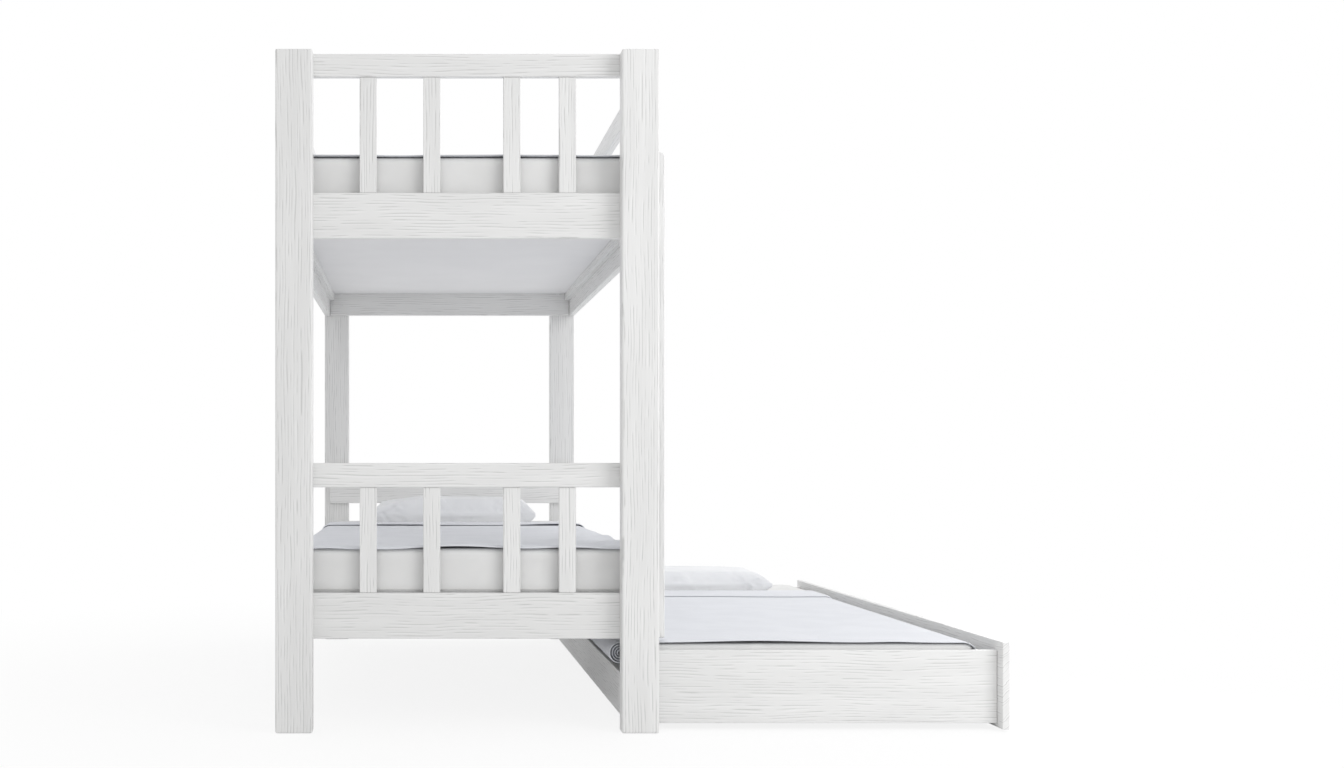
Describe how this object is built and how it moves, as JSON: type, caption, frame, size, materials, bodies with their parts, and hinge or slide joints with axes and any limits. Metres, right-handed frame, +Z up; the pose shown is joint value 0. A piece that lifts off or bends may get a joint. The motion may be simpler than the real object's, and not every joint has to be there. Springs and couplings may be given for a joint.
{
  "type": "bunk bed with trundle",
  "caption": "Bunk bed with two fixed berths, slatted foot end, guard rails, side ladder and a wheeled trundle bed that rolls out from under the lower berth.",
  "frame": {"origin": "on the floor, at the middle of the footprint of the bed with its trundle pulled out", "axes": "+X towards the side that the trundle pulls out to, +Y from the foot end to the head end, +Z up"},
  "size_m": [1.881, 2.05, 1.747],
  "materials": {
    "white_grained_wood": "white woodgrain foil, satin",
    "white_platform_board": "smooth white board, matt",
    "mattress_fabric": "woven ticking",
    "cover_fabric": "thin padded quilt",
    "pillow_fabric": "smooth cotton",
    "zinc_steel": "zinc plated",
    "wheel_plastic": "moulded"
  },
  "bodies": {
    "bed_frame": {"foot_lower_beam": "white_grained_wood", "foot_lower_slat_1": "white_grained_wood", "foot_lower_slat_2": "white_grained_wood", "foot_lower_slat_3": "white_grained_wood", "foot_lower_slat_4": "white_grained_wood", "foot_lower_top_rail": "white_grained_wood", "foot_upper_beam": "white_grained_wood", "foot_upper_slat_1": "white_grained_wood", "foot_upper_slat_2": "white_grained_wood", "foot_upper_slat_3": "white_grained_wood", "foot_upper_slat_4": "white_grained_wood", "foot_upper_top_rail": "white_grained_wood", "guard_rail_left": "white_grained_wood", "guard_rail_right": "white_grained_wood", "guard_support_right": "white_grained_wood", "head_lower_beam": "white_grained_wood", "head_lower_board": "white_grained_wood", "head_upper_beam": "white_grained_wood", "head_upper_board": "white_grained_wood", "ladder_rung_1": "white_grained_wood", "ladder_rung_2": "white_grained_wood", "ladder_rung_3": "white_grained_wood", "ladder_rung_4": "white_grained_wood", "ladder_stile_far": "white_grained_wood", "ladder_stile_near": "white_grained_wood", "lower_cover": "cover_fabric", "lower_mattress": "mattress_fabric", "lower_pillow": "pillow_fabric", "lower_platform": "white_platform_board", "post_foot_left": "white_grained_wood", "post_foot_right": "white_grained_wood", "post_head_left": "white_grained_wood", "post_head_right": "white_grained_wood", "side_lower_rail_left": "white_grained_wood", "side_lower_rail_right": "white_grained_wood", "side_upper_rail_left": "white_grained_wood", "side_upper_rail_right": "white_grained_wood", "upper_cover": "cover_fabric", "upper_mattress": "mattress_fabric", "upper_pillow": "pillow_fabric", "upper_platform": "white_platform_board"},
    "trundle": {"caster_bracket_1": "zinc_steel", "caster_bracket_2": "zinc_steel", "caster_bracket_3": "zinc_steel", "caster_bracket_4": "zinc_steel", "trundle_back_rail": "white_grained_wood", "trundle_bearer_foot": "white_grained_wood", "trundle_bearer_head": "white_grained_wood", "trundle_cover": "cover_fabric", "trundle_end_board_foot": "white_grained_wood", "trundle_end_board_head": "white_grained_wood", "trundle_front_panel": "white_grained_wood", "trundle_mattress": "mattress_fabric", "trundle_pillow": "pillow_fabric", "trundle_platform": "white_platform_board"},
    "wheel_1": {"caster_wheel_1": "wheel_plastic"},
    "wheel_2": {"caster_wheel_2": "wheel_plastic"},
    "wheel_3": {"caster_wheel_3": "wheel_plastic"},
    "wheel_4": {"caster_wheel_4": "wheel_plastic"}
  },
  "joints": [
    {"name": "trundle_slide", "type": "slide", "parent": "bed_frame", "child": "trundle", "axis": [1, 0, 0], "range_m": [-0.882, 0], "deforming": ["trundle_pillow"]},
    {"name": "wheel_1_spin", "type": "hinge", "parent": "trundle", "child": "wheel_1", "pos_m": [0.0425, -0.803, 0.022], "axis": [0, 1, 0], "continuous": true},
    {"name": "wheel_2_spin", "type": "hinge", "parent": "trundle", "child": "wheel_2", "pos_m": [0.8625, -0.803, 0.022], "axis": [0, 1, 0], "continuous": true},
    {"name": "wheel_3_spin", "type": "hinge", "parent": "trundle", "child": "wheel_3", "pos_m": [0.0425, 0.803, 0.022], "axis": [0, 1, 0], "continuous": true},
    {"name": "wheel_4_spin", "type": "hinge", "parent": "trundle", "child": "wheel_4", "pos_m": [0.8625, 0.803, 0.022], "axis": [0, 1, 0], "continuous": true}
  ],
  "couplings": [
    {"joint": "wheel_1_spin", "follows": "trundle_slide", "rad_per_m": 45.455},
    {"joint": "wheel_2_spin", "follows": "trundle_slide", "rad_per_m": 45.455},
    {"joint": "wheel_3_spin", "follows": "trundle_slide", "rad_per_m": 45.455},
    {"joint": "wheel_4_spin", "follows": "trundle_slide", "rad_per_m": 45.455}
  ]
}
